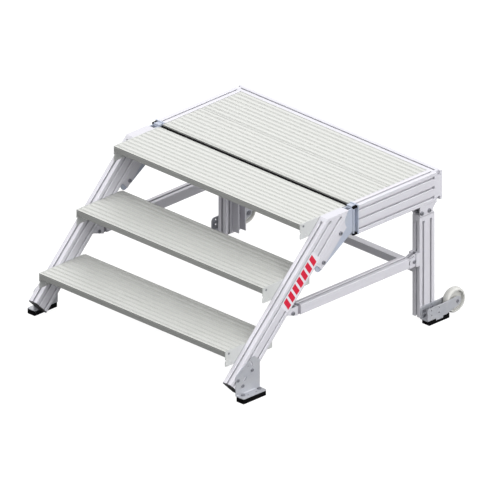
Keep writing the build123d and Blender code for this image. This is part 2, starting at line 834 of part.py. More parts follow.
def leg_bracket():
    """Bracket between the leg and the side beam: a top, a foot and two cheeks, open to the front."""
    z0, z1, wall = leg_top + leg_cap, beam_bottom, leg_bracket_wall
    height = z1 - z0
    toe, heel = leg_front + leg_bracket_toe, leg_rear - leg_bracket_heel
    front, tail = leg_front + leg_bracket_lead, leg_rear + leg_bracket_tail
    cheek = area([(toe, z0), (heel, z0), (heel - wall, z0 + height * leg_bracket_waist), (tail, z1),
                  (front, z1), (front, z0 + height * leg_bracket_shoulder)])
    for y, z in leg_bracket_bolt_places():
        cheek -= disc(y, z, bolt_radius + bolt_play)
    body = side_plate(cheek, outer - wall, outer) + side_plate(cheek, half_width, half_width + wall)
    body += block(half_width, outer, front, tail, z1 - wall, z1)
    return body + block(half_width, outer, toe, heel, z0, z0 + wall)


def leg_bracket_bolt_places():
    z0 = leg_top + leg_cap
    z = z0 + (beam_bottom - z0) * bracket_bolt_share
    return [(slot_y - bracket_bolt_shift, z) for slot_y in (front_slot, rear_slot)]


def leg_channel():
    """Channel on the leg's inner face, open towards the middle of the stand."""
    y0, wall = front_slot + cross_plate_width / 2 + nesting_play, leg_channel_wall
    y1 = y0 + cell
    x0 = half_width - leg_channel_reach
    body = block(x0, half_width, y0, y1, leg_channel_bottom, leg_top)
    body -= block(x0 - 1, half_width - wall, y0 + wall, y1 - wall, 0, platform)
    for z in leg_channel_bolts():
        body -= x_pin(rear_slot, z, bolt_radius + bolt_play, x0, half_width + 1)
    return body


def leg_channel_bolts():
    third = (leg_top - leg_channel_bottom) / 3
    return [leg_channel_bottom + third * (i + 0.5) for i in range(3)]


def rear_cross_bar():
    """Square tube between the legs, welded to a plate at each end."""
    y, z = front_slot, cross_bar_bottom + cross_bar / 2
    reach = half_width - cross_bar_plate
    bore = cross_bar - 2 * cross_bar_wall
    tube = Rectangle(cross_bar, cross_bar) - Rectangle(bore, bore)
    body = along_x(tube, y, z, -reach, reach)
    half_y, half_z = cross_plate_width / 2, cross_plate_height / 2
    end = block(reach, half_width, y - half_y, y + half_y, z - half_z, z + half_z)
    for height in cross_bar_bolts():
        end -= x_pin(y, height, bolt_radius + bolt_play, reach - 1, half_width + 1)
    return body + end + to_left(end)


def cross_bar_bolts():
    z = cross_bar_bottom + cross_bar / 2
    return [z - cross_bolt_reach, z + cross_bolt_reach]


def leg_bolts():
    """Bolts of the leg bracket, the deck ledge, the leg channel and the cross bar."""
    bolts = []
    for y, z in leg_bracket_bolt_places():
        bolts += cross_bolt(y, z)
    for y in ledge_bolt_places():
        bolts += slot_bolt((half_width, y, beam_slots()[1]), (-1, 0, 0), (0, 1, 0), ledge_wall)
    for z in leg_channel_bolts():
        point = (half_width, rear_slot, z)
        bolts += slot_bolt(point, (-1, 0, 0), (0, 0, 1), leg_channel_wall, socket_bolt_low)
    for z in cross_bar_bolts():
        bolts += slot_bolt((half_width, front_slot, z), (-1, 0, 0), (0, 0, 1), cross_bar_plate)
    return bolts


# ---- struts ----
strut_front = y_at(strut_top, stringer_depth) + strut_bracket_reach
strut_rear = leg_front - strut_rear_gap
joint_y = leg_front - joint_back
joint_z = strut_axis - joint_drop


def strut():
    section = profile_section(1, 1, open_sides=("+y", "-y"))
    return along_y(section, middle, strut_axis, strut_front + strut_cap, strut_rear)


def strut_front_cap():
    side = strut_cap_side
    body = block(half_width + side, outer - side, strut_front, strut_front + strut_cap,
                 strut_bottom + side, strut_top - side)
    return chamfer(body.edges().filter_by(Axis.Y), strut_cap_corner)


def strut_front_bracket():
    """Bracket on the stringer's rear face: two cheeks and an end wall for the strut."""
    wall = bracket_wall
    base = stringer_depth + nesting_play
    low = strut_bottom + bracket_sweep
    outline = area([(y_at(low, stringer_depth), low), (strut_front, strut_bottom),
                    (strut_front, strut_top), (y_at(strut_top, stringer_depth), strut_top)])
    hollow = area([(y_at(strut_bottom, base), strut_bottom - 1), (strut_front - wall, strut_bottom - 1),
                   (strut_front - wall, strut_top + 1), (y_at(strut_top, base), strut_top + 1)])
    y, z = strut_bracket_bolt()
    outline -= disc(y, z, bolt_radius + bolt_play)
    body = side_plate(outline, half_width, outer)
    return body - side_plate(hollow, half_width + wall, outer - wall)


def strut_bracket_bolt():
    return strut_front - bracket_bolt_lead, strut_bottom + bracket_bolt_rise


def rear_joint():
    """Bracket on the leg's front face: a base, two thick ears and a round plate against each."""
    low, high = strut_axis - joint_height / 2, strut_axis + joint_height / 2
    span = 2 * joint_radius
    behind = rect(leg_front, leg_front + span, joint_z - span, joint_z + span)
    hole = disc(joint_y, joint_z, bolt_radius + bolt_play)
    plate = disc(joint_y, joint_z, joint_plate_radius) - behind - hole
    plate -= rect(joint_y - joint_radius, leg_front, joint_z - span, joint_z - joint_cut)
    for start in arc_starts:
        radius = joint_plate_radius * arc_share
        plate -= arc_slot(joint_y, joint_z, radius, start, start + arc_span, arc_slot_width)
    hidden = disc(joint_y + joint_offset, joint_z - joint_offset, joint_radius) - behind - hole
    ear = rect(leg_front - joint_ear, leg_front, low, high)
    ear -= disc(joint_y, joint_z, head_radius + bolt_play)
    far, near = outer - 2 * joint_plate, outer - joint_plate
    body = side_plate(plate + ear, far, near) + side_plate(ear, near, outer)
    body += side_plate(hidden, half_width + joint_plate, half_width + 2 * joint_plate)
    body += side_plate(ear, half_width, half_width + 2 * joint_plate)
    body += block(half_width, outer, leg_front - joint_base, leg_front, low, high)
    for z in joint_base_bolts():
        body -= y_pin(middle, z, bolt_radius + bolt_play, leg_front - joint_base - 1, leg_front + 1)
    return body


def joint_base_bolts():
    return [strut_axis - joint_base_bolt_pitch / 2, strut_axis + joint_base_bolt_pitch / 2]


def strut_lug():
    """End piece of the strut, with a round lug between the two plates of the rear joint."""
    side = lug_plate_side
    plate = block(half_width + side, outer - side, strut_rear, strut_rear + lug_plate,
                  strut_bottom + side, strut_top - side)
    lug = disc(joint_y, joint_z, lug_radius)
    lug += rect(strut_rear, joint_y, joint_z - lug_radius, joint_z + lug_radius)
    lug -= disc(joint_y, joint_z, bolt_radius + bolt_play)
    plate_edge = joint_y - joint_plate_radius
    plate -= block(0, outer, plate_edge - 1, joint_y, 0, platform)
    return plate + side_plate(lug, middle - lug_thickness / 2, middle + lug_thickness / 2)


def strut_bolts():
    bolts = cross_bolt(*strut_bracket_bolt())
    far = outer - joint_plate
    near = half_width + joint_plate
    length = far - near + nut_thickness + shank_end
    bolts.append(seat(socket_bolt_low(length), (far, joint_y, joint_z), (1, 0, 0), (0, 1, 0)))
    bolts.append(plain_nut(joint_y, joint_z, near - nut_thickness, near))
    for z in joint_base_bolts():
        bolts += slot_bolt((middle, leg_front, z), (0, -1, 0), (0, 0, 1), joint_base, socket_bolt_small)
    return bolts


# ---- feet ----
def pad(y0, length, holes=()):
    body = block(outer, outer + pad_width, y0, y0 + length, 0, pad_height)
    body = fillet(body.edges().filter_by(Axis.Z), pad_corner)
    body = chamfer(body.faces().sort_by(Axis.Z)[0].edges(), pad_sole_edge)
    for x, y, radius in holes:
        body -= Pos(x, y, pad_height / 2) * Cylinder(radius, 2 * pad_height)
    return body


foot_bolt_base = run_at(foot_slot_level, stringer_depth)
foot_bolt_x = outer + foot_bolt_offset
foot_anchor_x = outer + foot_anchor_offset


def front_pad_bolts():
    return [front_pad_start + front_pad_bolt_lead, front_pad_start + front_pad_length - front_pad_bolt_tail]


def front_anchors():
    centre = front_pad_start + front_pad_length / 2
    return [centre - foot_anchor_pitch / 2, centre + foot_anchor_pitch / 2]


def foot_slot_bolts():
    """Places in Y and Z of the bolts that hold the foot plate to the stringer's side slots."""
    insets = [cell / 2, stringer_depth - cell / 2, stringer_depth - cell / 2]
    return [stringer_point(foot_bolt_base + run, inset) for run, inset in zip(foot_bolt_runs, insets)]


def front_foot_plate():
    """Bent plate: an upright part on the stringer's outer face and a flange on the pad."""
    y0, y1 = front_pad_start - foot_plate_lead, front_pad_start + front_pad_length + foot_plate_tail
    z0, front = pad_height, pad_height + foot_plate_front
    top = foot_slot_bolts()[2][1] + foot_plate_top
    outline = area([(front_pad_start, z0), (y0, z0 + foot_plate_lead), (y0, front), (y0 + 7, front + 8),
                    (y1 - 44, top - 3), (y1 - 37, top), (y1 - 28, top), (y1, top - 25), (y1, z0)])
    pivot_y, pivot_z = foot_slot_bolts()[0]
    for y, z in foot_slot_bolts():
        outline -= disc(y, z, bolt_radius + bolt_play)
    outline -= arc_slot(pivot_y, pivot_z, foot_arc_radius, foot_arc_start, foot_arc_end, foot_arc_width)
    outline -= disc(pivot_y + foot_arc_radius * 0.61, pivot_z + foot_arc_radius * 0.49, foot_hole_radius)
    slot_start = (pivot_y + foot_arc_radius * 0.4, pivot_z - 10)
    slot_end = (slot_start[0] + foot_slot_length * 0.61, slot_start[1] + foot_slot_length * 0.79)
    outline -= strip(slot_start, slot_end, foot_slot_width)
    body = side_plate(outline, outer, outer + steel)
    flange = block(outer, outer + pad_width, front_pad_start, y1, z0, z0 + steel)
    flange = fillet(flange.edges().filter_by(Axis.Z).sort_by(Axis.X)[-2:], flange_corner)
    for y in front_pad_bolts():
        flange -= Pos(foot_bolt_x, y, z0) * Cylinder(bolt_radius + bolt_play, 4 * steel)
    for y in front_anchors():
        flange -= Pos(foot_anchor_x, y, z0) * Cylinder(anchor_radius, 4 * steel)
    corner = rect(0, bend_radius, 0, bend_radius) - disc(bend_radius, bend_radius, bend_radius)
    plane = Plane(origin=(outer + steel, y1, z0 + steel), x_dir=(1, 0, 0), z_dir=(0, -1, 0))
    return body + flange + extrude(plane * corner, y1 - front_pad_start)


def front_foot_bolts():
    bolts = []
    for y, z in foot_slot_bolts():
        bolts += slot_bolt((outer, y, z), (1, 0, 0), uphill, steel, bolt=socket_bolt_low)
    for y in front_pad_bolts():
        bolts.append(Pos(foot_bolt_x, y, pad_height + steel) * hex_bolt(pad_height * pad_bolt_share))
    return bolts


# ---- wheel brackets and wheels ----
wheel_x = outer + pad_width / 2
bracket_front = leg_front + cheek_lead
web_rear = wheel_y - wheel_radius - wheel_room
tab_start = leg_front + cell * tab_share


def cheek_outline():
    """Outline of a wheel bracket's cheek, with a round end about the axle."""
    z0, z1 = pad_height, pad_height + steel + cheek_height
    end, corner = cheek_end, cheek_corner
    body = area([(bracket_front, z0), (web_rear, z0), (wheel_y, wheel_z - end), (wheel_y, wheel_z + end),
                 (web_rear - web_corner, z1), (bracket_front + corner, z1), (bracket_front, z1 - corner)])
    body += disc(wheel_y, wheel_z, end) + disc(bracket_front + corner, z1 - corner, corner)
    return body - disc(wheel_y, wheel_z, axle_radius + screw_play)


def accessory_holes():
    """Four holes in the outer cheek, on a 40 by 20 pattern."""
    y0, z0 = bracket_front + accessory_lead, pad_height + accessory_rise
    return [(y0 + dy, z0 + dz) for dy in (0, accessory_pitch_y) for dz in (0, accessory_pitch_z)]


def wheel_bracket():
    """Bent steel bracket: a web on the pad, an inner cheek on the leg and an outer cheek."""
    z0 = pad_height
    inner = side_plate(cheek_outline(), outer, outer + steel)
    for y in (front_slot, rear_slot):
        for z in cheek_bolt_heights:
            inner -= x_pin(y, z, bolt_radius + bolt_play, outer - 1, outer + steel + 1)
    cheek = cheek_outline()
    for y, z in accessory_holes():
        cheek -= disc(y, z, accessory_radius)
    far = outer + pad_width
    outside = side_plate(cheek, far - steel, far)
    outside += block(far - steel, far, tab_start, tab_start + tab_length, z0 - tab_drop, z0)
    base = block(outer, far, bracket_front, web_rear, z0, z0 + steel)
    for y in rear_pad_bolts():
        base -= Pos(wheel_x, y, z0) * Cylinder(bolt_radius + bolt_play, 4 * steel)
    return inner + outside + base


def rear_pad_bolts():
    start = leg_front + rear_pad_lead
    return [start + rear_pad_bolt_lead, start + rear_pad_length - rear_pad_bolt_tail]


def rear_pad():
    far = outer + pad_width
    holes = [(wheel_x, y, bolt_radius + bolt_play) for y in rear_pad_bolts()]
    body = pad(leg_front + rear_pad_lead, rear_pad_length, holes)
    play = nesting_play
    return body - block(far - steel - play, far + 1, tab_start - play, tab_start + tab_length + play,
                        pad_height - tab_drop - play, pad_height + 1)


def front_pad():
    holes = [(foot_bolt_x, y, bolt_radius + bolt_play) for y in front_pad_bolts()]
    holes += [(foot_anchor_x, y, anchor_radius) for y in front_anchors()]
    return pad(front_pad_start, front_pad_length, holes)


def wheel_bracket_bolts():
    bolts = []
    for y in (front_slot, rear_slot):
        for z in cheek_bolt_heights:
            bolts += slot_bolt((outer, y, z), (1, 0, 0), (0, 0, 1), steel, bolt=socket_bolt_low)
    for y in rear_pad_bolts():
        bolts.append(Pos(wheel_x, y, pad_height + steel) * hex_bolt(pad_height * pad_bolt_share))
    return bolts


hub_half = pad_width / 2 - steel - hub_play
bush_radius = axle_radius + axle_play + bush_wall


def wheel():
    """Plastic wheel with a crowned tread, a rim, a thinner web and a hub."""
    half, crown = wheel_width / 2, wheel_crown
    rim, bore = wheel_radius - wheel_rim, bush_radius + bush_play
    right = [(bore, hub_half), (hub_radius, hub_half), (hub_radius + hub_draft, web_half),
             (rim - web_draft, web_half), (rim, half), (wheel_radius - crown, half),
             (wheel_radius - wheel_shoulder, half - crown), (wheel_radius, half - 2 * crown)]
    left = [(radius, -x) for radius, x in reversed(right)]
    plane = Plane(origin=(wheel_x, wheel_y, wheel_z), x_dir=(0, 1, 0), z_dir=(0, 0, -1))
    return revolve(plane * area(right + left), Axis(plane.origin, (1, 0, 0)))


def wheel_bush():
    ring = disc(wheel_y, wheel_z, bush_radius) - disc(wheel_y, wheel_z, axle_radius + axle_play)
    return side_plate(ring, wheel_x - hub_half, wheel_x + hub_half)


def axle_bolt():
    """Axle with a low round head outside the bracket and a nut inside the leg's plane."""
    x0, x1 = outer, outer + pad_width
    body = x_pin(wheel_y, wheel_z, axle_radius, x0 - axle_nut_height - axle_overhang, x1)
    head = x_pin(wheel_y, wheel_z, axle_head_radius, x1, x1 + axle_head_height)
    head = fillet(head.edges().filter_by(GeomType.CIRCLE).sort_by(Axis.X)[-1], axle_head_height * head_soft)
    key = Pos(wheel_y, wheel_z) * RegularPolygon(axle_radius * key_share, 6)
    return body + head - side_plate(key, x1, x1 + 2 * axle_head_height)


def axle_nut():
    hexagon = Pos(wheel_y, wheel_z) * RegularPolygon(axle_nut_radius, 6)
    nut = side_plate(hexagon, outer - axle_nut_height, outer)
    return nut - x_pin(wheel_y, wheel_z, axle_radius + thread_play, outer - 2 * axle_nut_height, outer + 1)


# ---- generic label ----
def stringer_label():
    y, z = stringer_point(run_at(label_start, 0), stringer_depth / 2 + label_shift)
    film = Pos(label_length / 2, 0, label_film / 2) * Box(label_length, label_width, label_film)
    film = fillet(film.edges().filter_by(Axis.Z), label_corner)
    return seat(film, (outer, y, z), (1, 0, 0), uphill)


def build():
    os.makedirs("parts", exist_ok=True)
    save_pair("stringer", stringer())
    save("stringer_top_caps", *both([stringer_top_cap()]))
    save("stringer_foot_caps", *both([stringer_foot_cap()]))
    save("stringer_label", stringer_label())
    build_steps()

    save_pair("coupling_channel", coupling_channel())
    save_pair("coupling_gusset", coupling_gusset())
    save("deck_spacers", *both([deck_spacer()]))
    save("deck_buffers", *both(deck_buffers()))
    save_pair("corner_bracket", corner_bracket())

    save_pair("side_beam", side_beam())
    save("rear_beam", rear_beam())
    save("rear_beam_covers", *both([rear_beam_cover()]))
    save("front_beam", front_beam())
    save("middle_support", middle_support())
    save("front_plank", Pos(0, deck_front, deck_top) * plank())
    save("rear_plank", Pos(0, deck_middle + nesting_play, deck_top) * plank())
    save("deck_ledges", *both([deck_ledge()]))
    save("gap_seal", gap_seal())

    save_pair("leg", leg())
    save("leg_top_caps", *both([leg_top_cap()]))
    save_pair("leg_bracket", leg_bracket())
    save_pair("leg_channel", leg_channel())
    save("rear_cross_bar", rear_cross_bar())

    save_pair("strut", strut())
    save("strut_caps", *both([strut_front_cap()]))
    save("strut_front_brackets", *both([strut_front_bracket()]))
    save("strut_rear_joints", *both([rear_joint()]))
    save("strut_lugs", *both([strut_lug()]))

    save("frame_bolts", *both(coupling_bolts() + leg_bolts() + strut_bolts()))

    save_pair("foot_plate", front_foot_plate())
    save_pair("wheel_bracket", wheel_bracket())
    save("rubber_pads", *both([front_pad(), rear_pad()]))
    save("foot_bolts", *both(front_foot_bolts() + wheel_bracket_bolts()))
    save_pair("wheel", wheel())
    save_pair("wheel_bush", wheel_bush())
    save("axle_bolts", *both([axle_bolt(), axle_nut()]))


build()
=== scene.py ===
"""Looks of the mobile ladder stand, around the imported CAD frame.

Materials, the label's bars, light and camera.
"""

import json
import math

import bpy
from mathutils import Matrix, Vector


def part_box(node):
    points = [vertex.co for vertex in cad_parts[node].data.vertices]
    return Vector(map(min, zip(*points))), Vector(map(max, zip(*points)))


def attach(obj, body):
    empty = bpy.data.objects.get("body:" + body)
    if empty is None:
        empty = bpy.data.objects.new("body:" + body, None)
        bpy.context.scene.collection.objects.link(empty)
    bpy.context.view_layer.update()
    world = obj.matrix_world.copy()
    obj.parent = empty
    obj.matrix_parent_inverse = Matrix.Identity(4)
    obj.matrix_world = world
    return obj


MM = 0.001
SLOPE = math.radians(45)                 # of the stringers
RIGHT = (1, 0, 0)                        # grain along X, the width of the stand
FORWARD = (0, 1, 0)                      # grain along Y, from the steps to the deck
UP = (0, 0, 1)                           # grain along Z
UPHILL = (0, math.cos(SLOPE), math.sin(SLOPE))
DIE_LINES = (700, 3)                     # noise scales across and along an extrusion
SLOT_REACH = 6 * MM                      # how far a wall shades its neighbour in a slot
SOCKET_REACH = 3 * MM                    # the same in a bolt's socket
RECESS_REACH = 14 * MM                   # the same in a wheel's recess
FLOOR_GLOW = 0.95
FLOOR_HALF_SIZE = 30.0
EYE_DISTANCE = 6.0

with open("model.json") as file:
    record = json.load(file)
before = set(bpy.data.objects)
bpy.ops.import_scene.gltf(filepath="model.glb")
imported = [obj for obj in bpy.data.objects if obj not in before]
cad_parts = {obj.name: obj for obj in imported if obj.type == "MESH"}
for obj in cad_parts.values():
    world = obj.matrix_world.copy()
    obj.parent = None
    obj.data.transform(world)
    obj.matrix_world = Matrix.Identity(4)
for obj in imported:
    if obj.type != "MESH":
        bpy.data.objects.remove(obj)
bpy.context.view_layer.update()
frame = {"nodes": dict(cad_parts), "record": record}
nodes = frame["nodes"]
slot_of = {part["node"]: part["material_slot"] for part in frame["record"]["subparts"]}


# ---- material helpers ----
def linear(hex_colour):
    """A colour written as #rrggbb, as the linear values that Blender's sockets take."""
    channels = [int(hex_colour[i:i + 2], 16) / 255 for i in (1, 3, 5)]
    straight = [((c + 0.055) / 1.055) ** 2.4 if c > 0.04045 else c / 12.92 for c in channels]
    return tuple(straight) + (1.0,)


def scaled_colour(colour, factor):
    return tuple(min(1.0, c * factor) for c in colour[:3]) + (1.0,)


class Surface:
    """A material's node tree, with short calls for the nodes that the materials below share."""

    def __init__(self, name, rough, metallic=0.0, coat=0.0):
        self.material = bpy.data.materials.new(name)
        self.material.use_nodes = True
        self.tree = self.material.node_tree
        self.shader = self.tree.nodes["Principled BSDF"]
        self.shader.inputs["Metallic"].default_value = metallic
        self.shader.inputs["Roughness"].default_value = rough
        self.shader.inputs["Coat Weight"].default_value = coat
        self.place = self.new("ShaderNodeTexCoord").outputs["Object"]

    def new(self, kind, **settings):
        node = self.tree.nodes.new(kind)
        for key, value in settings.items():
            setattr(node, key, value)
        return node

    def link(self, source, target):
        self.tree.links.new(source, target)

    def stretched(self, along, across_scale, along_scale):
        """Object coordinates scaled up across a direction and left long along it."""
        turn = self.new("ShaderNodeMapping", vector_type="POINT")
        to_up = Vector(along).rotation_difference(Vector(UP))
        turn.inputs["Rotation"].default_value = to_up.to_euler()
        self.link(self.place, turn.inputs["Vector"])
        scale = self.new("ShaderNodeMapping", vector_type="POINT")
        scale.inputs["Scale"].default_value = (across_scale, across_scale, along_scale)
        self.link(turn.outputs["Vector"], scale.inputs["Vector"])
        return scale.outputs["Vector"]

    def noise(self, scale, detail=3.0, vector=None, roughness=0.55):
        node = self.new("ShaderNodeTexNoise")
        node.inputs["Scale"].default_value = scale
        node.inputs["Detail"].default_value = detail
        node.inputs["Roughness"].default_value = roughness
        self.link(vector or self.place, node.inputs["Vector"])
        return node.outputs["Fac"]

    def spread(self, value, low, high, from_low=0.3, from_high=0.7):
        """A value in a range, moved to another range and held inside it."""
        node = self.new("ShaderNodeMapRange")
        limits = {"From Min": from_low, "From Max": from_high, "To Min": low, "To Max": high}
        for name, number in limits.items():
            node.inputs[name].default_value = number
        self.link(value, node.inputs["Value"])
        return node.outputs["Result"]

    def mix(self, share, first, second, blend="MIX"):
        node = self.new("ShaderNodeMix", data_type="RGBA", blend_type=blend)
        for socket, value in ((node.inputs[0], share), (node.inputs[6], first), (node.inputs[7], second)):
            if isinstance(value, (float, int, tuple)):
                socket.default_value = value
            else:
                self.link(value, socket)
        return node.outputs[2]

    def maths(self, operation, first, second=0.0):
        node = self.new("ShaderNodeMath", operation=operation)
        for socket, value in zip(node.inputs, (first, second)):
            if isinstance(value, (float, int)):
                socket.default_value = value
            else:
                self.link(value, socket)
        return node.outputs["Value"]

    def edges(self, radius):
        """How far a point lies on an outer edge, the mask for edge wear and a painted edge highlight: 0
        on flat faces, 1 on an outer corner.
        """
        rounded = self.new("ShaderNodeBevel", samples=4)
        rounded.inputs["Radius"].default_value = radius
        flat = self.new("ShaderNodeNewGeometry").outputs["Normal"]
        dot = self.new("ShaderNodeVectorMath", operation="DOT_PRODUCT")
        self.link(rounded.outputs["Normal"], dot.inputs[0])
        self.link(flat, dot.inputs[1])
        return self.spread(dot.outputs["Value"], 1.0, 0.0, 0.72, 0.985)

    def crevice_shade(self, reach):
        """How enclosed a point is, the mask for painted shade in slots, holes and sockets: 0 in the open,
        1 deep in a slot or a hole.
        """
        shade = self.new("ShaderNodeAmbientOcclusion", samples=8)
        shade.inputs["Distance"].default_value = reach
        return self.spread(shade.outputs["AO"], 1.0, 0.0, 0.1, 0.7)

    def bump(self, height, depth, strength=1.0):
        node = self.new("ShaderNodeBump")
        node.inputs["Strength"].default_value = strength
        node.inputs["Distance"].default_value = depth
        self.link(height, node.inputs["Height"])
        self.link(node.outputs["Normal"], self.shader.inputs["Normal"])

    def colour(self, value):
        self.link(value, self.shader.inputs["Base Color"])

    def rough(self, value):
        self.link(value, self.shader.inputs["Roughness"])


def extruded(name, tone, along, rough=0.42, metallic=0.25):
    """Anodised extrusion: die lines along its length, soft clouds, edges lighter with wear and a painted
    highlight, and painted shade in its slots.
    """
    s = Surface(name, rough, metallic)
    lines = s.noise(1.0, 4.0, s.stretched(along, *DIE_LINES))
    cloud = s.noise(9.0, 3.0)
    base = linear(tone)
    body = s.mix(s.spread(lines, 0.0, 1.0), scaled_colour(base, 0.93), scaled_colour(base, 1.04))
    body = s.mix(s.spread(cloud, 0.0, 0.18), body, linear("#b9b9c2"))
    # edges lightened towards #e3e3e8: part wear, part painted highlight
    body = s.mix(s.maths("MULTIPLY", s.edges(0.9 * MM), 0.35), body, linear("#e3e3e8"))
    # painted shade: slots and corners darkened towards #4c4c51
    s.colour(s.mix(s.maths("MULTIPLY", s.crevice_shade(SLOT_REACH), 0.5), body, linear("#4c4c51")))
    s.rough(s.spread(lines, rough - 0.07, rough + 0.09))
    s.bump(lines, 0.05 * MM, 0.35)
    return s.material


def tread_skin(name, tone, shaded_lip_tone):
    """Ribbed extrusion; its faces turned to the front, the lip among them, carry painted shade, darker
    than its walking surface.
    """
    s = Surface(name, 0.46, 0.2)
    lines = s.noise(1.0, 4.0, s.stretched(RIGHT, *DIE_LINES))
    cloud = s.noise(9.0, 3.0)
    # mask of the faces turned to the front (-Y), where shade is painted
    facing = s.new("ShaderNodeSeparateXYZ")
    s.link(s.new("ShaderNodeNewGeometry").outputs["Normal"], facing.inputs["Vector"])
    front = s.spread(facing.outputs["Y"], 1.0, 0.0, -0.99, -0.9)
    base = linear(tone)
    body = s.mix(s.spread(lines, 0.0, 1.0), scaled_colour(base, 0.93), scaled_colour(base, 1.04))
    body = s.mix(s.spread(cloud, 0.0, 0.18), body, linear("#adada9"))
    # edges lightened towards #dededc: part wear, part painted highlight
    body = s.mix(s.maths("MULTIPLY", s.edges(0.9 * MM), 0.3), body, linear("#dededc"))
    # painted shade: front faces mixed to the darker shaded lip tone
    body = s.mix(front, body, linear(shaded_lip_tone))
    # painted shade in slots and grooves, towards #55555a
    s.colour(s.mix(s.maths("MULTIPLY", s.crevice_shade(SLOT_REACH), 0.35), body, linear("#55555a")))
    s.rough(s.spread(lines, 0.4, 0.55))
    s.bump(lines, 0.05 * MM, 0.35)
    return s.material


def plated(name, tone, tint):
    """Zinc plate: spangled crystals with a faint change of tint, edges lighter with wear and a painted
    highlight, and painted shade in its hollows.
    """
    s = Surface(name, 0.38, 0.35)
    crystals = s.new("ShaderNodeTexVoronoi", feature="F1")
    crystals.inputs["Scale"].default_value = 160.0
    s.link(s.place, crystals.inputs["Vector"])
    flake = s.new("ShaderNodeSeparateColor")
    s.link(crystals.outputs["Color"], flake.inputs["Color"])
    cloud = s.noise(24.0, 4.0)
    body = s.mix(s.spread(cloud, 0.0, 1.0), linear(tone), linear(tint))
    body = s.mix(s.maths("MULTIPLY", flake.outputs["Red"], 0.1), body, linear("#8d939f"))
    # edges lightened towards #dfe3ea: part wear, part painted highlight
    body = s.mix(s.maths("MULTIPLY", s.edges(0.8 * MM), 0.35), body, linear("#dfe3ea"))
    # painted shade: hollows and corners darkened towards #55585f
    s.colour(s.mix(s.maths("MULTIPLY", s.crevice_shade(SLOT_REACH), 0.55), body, linear("#55585f")))
    s.rough(s.spread(flake.outputs["Green"], 0.3, 0.5, 0.0, 1.0))
    s.bump(s.noise(900.0, 2.0), 0.04 * MM, 0.3)
    return s.material


def moulded(name, tone, light, rough=0.6, grain=1400.0, depth=0.06, gloss=0.3):
    """Moulded plastic or rubber: fine pitted grain, cloudy dust, and edges paler with wear and a painted
    highlight.
    """
    s = Surface(name, rough)
    s.shader.inputs["Specular IOR Level"].default_value = gloss
    fine = s.noise(grain, 2.0)
    cloud = s.noise(30.0, 4.0)
    body = s.mix(s.spread(cloud, 0.0, 0.35), linear(tone), linear(light))
    # edges lightened: part wear, part painted highlight
    s.colour(s.mix(s.maths("MULTIPLY", s.edges(0.7 * MM), 0.5), body, linear(light)))
    s.rough(s.spread(cloud, rough - 0.08, rough + 0.1))
    s.bump(fine, depth * MM, 0.6)
    return s.material


def turned(name, tone, stain, rough=0.36):
    """Bolt steel: oil stain in clouds, corners brightened with wear and a painted highlight, and painted
    shade in its hollows.
    """
    s = Surface(name, rough, 0.5)
    cloud = s.noise(220.0, 3.0)
    body = s.mix(s.spread(cloud, 0.0, 1.0), linear(tone), linear(stain))
    # corners lightened towards #b5b6bb: part wear, part painted highlight
    body = s.mix(s.maths("MULTIPLY", s.edges(0.4 * MM), 0.5), body, linear("#b5b6bb"))
    # painted shade: sockets and hollows darkened towards #1d1d20
    s.colour(s.mix(s.crevice_shade(SOCKET_REACH), body, linear("#1d1d20")))
    s.rough(s.spread(cloud, rough - 0.06, rough + 0.12))
    s.bump(s.noise(1500.0, 2.0), 0.03 * MM, 0.3)
    return s.material


def film(name, tone, dust):
    """Printed film: smooth, with a faint ripple and a thin clear coat."""
    s = Surface(name, 0.34, 0.0, 0.25)
    cloud = s.noise(40.0, 3.0)
    s.colour(s.mix(s.spread(cloud, 0.0, 0.25), linear(tone), linear(dust)))
    s.rough(s.spread(cloud, 0.28, 0.42))
    s.bump(s.noise(60.0, 2.0), 0.08 * MM, 0.2)
    return s.material


def wheel_plastic(name, axle):
    """White wheel plastic: turned rings, and grey scuffs on the running face only."""
    s = Surface(name, 0.5)
    away = s.new("ShaderNodeVectorMath", operation="SUBTRACT")
    s.link(s.place, away.inputs[0])
    away.inputs[1].default_value = axle
    flat = s.new("ShaderNodeVectorMath", operation="MULTIPLY")
    s.link(away.outputs["Vector"], flat.inputs[0])
    flat.inputs[1].default_value = (0, 1, 1)
    length = s.new("ShaderNodeVectorMath", operation="LENGTH")
    s.link(flat.outputs["Vector"], length.inputs[0])
    radius = length.outputs["Value"]
    rim = s.spread(radius, 0.0, 1.0, 46 * MM, 50 * MM)
    scuff = s.maths("MULTIPLY", rim, s.spread(s.noise(90.0, 4.0), 0.0, 0.55))
    body = s.mix(s.spread(s.noise(35.0, 3.0), 0.0, 0.4), linear("#a9a9a6"), linear("#9d9d99"))
    body = s.mix(scuff, body, linear("#8b8a86"))
    # painted shade: the wheel's recess darkened towards #5a5a58
    s.colour(s.mix(s.maths("MULTIPLY", s.crevice_shade(RECESS_REACH), 0.5), body, linear("#5a5a58")))
    rings = s.maths("SINE", s.maths("MULTIPLY", radius, 2 * math.pi / (1.6 * MM)))
    s.rough(s.spread(rings, 0.44, 0.54, -1.0, 1.0))
    s.bump(rings, 0.02 * MM, 0.4)
    return s.material


# ---- the CAD nodes' materials ----
ALUMINIUM = "#b9b8be"


def grain_of(node):
    """The direction in which a node's extrusion runs."""
    if "stringer" in node or "coupling_channel" in node:
        return UPHILL
    if node.endswith(("_side_beam", "_strut")) or node in ("strut_lugs", "strut_caps", "deck_ledges"):
        return FORWARD
    if "leg" in node or "joint" in node or "bracket" in node:
        return UP
    return RIGHT


def grain_name(along):
    return {RIGHT: "x", FORWARD: "y", UP: "z", UPHILL: "slope"}[along]


made = {}


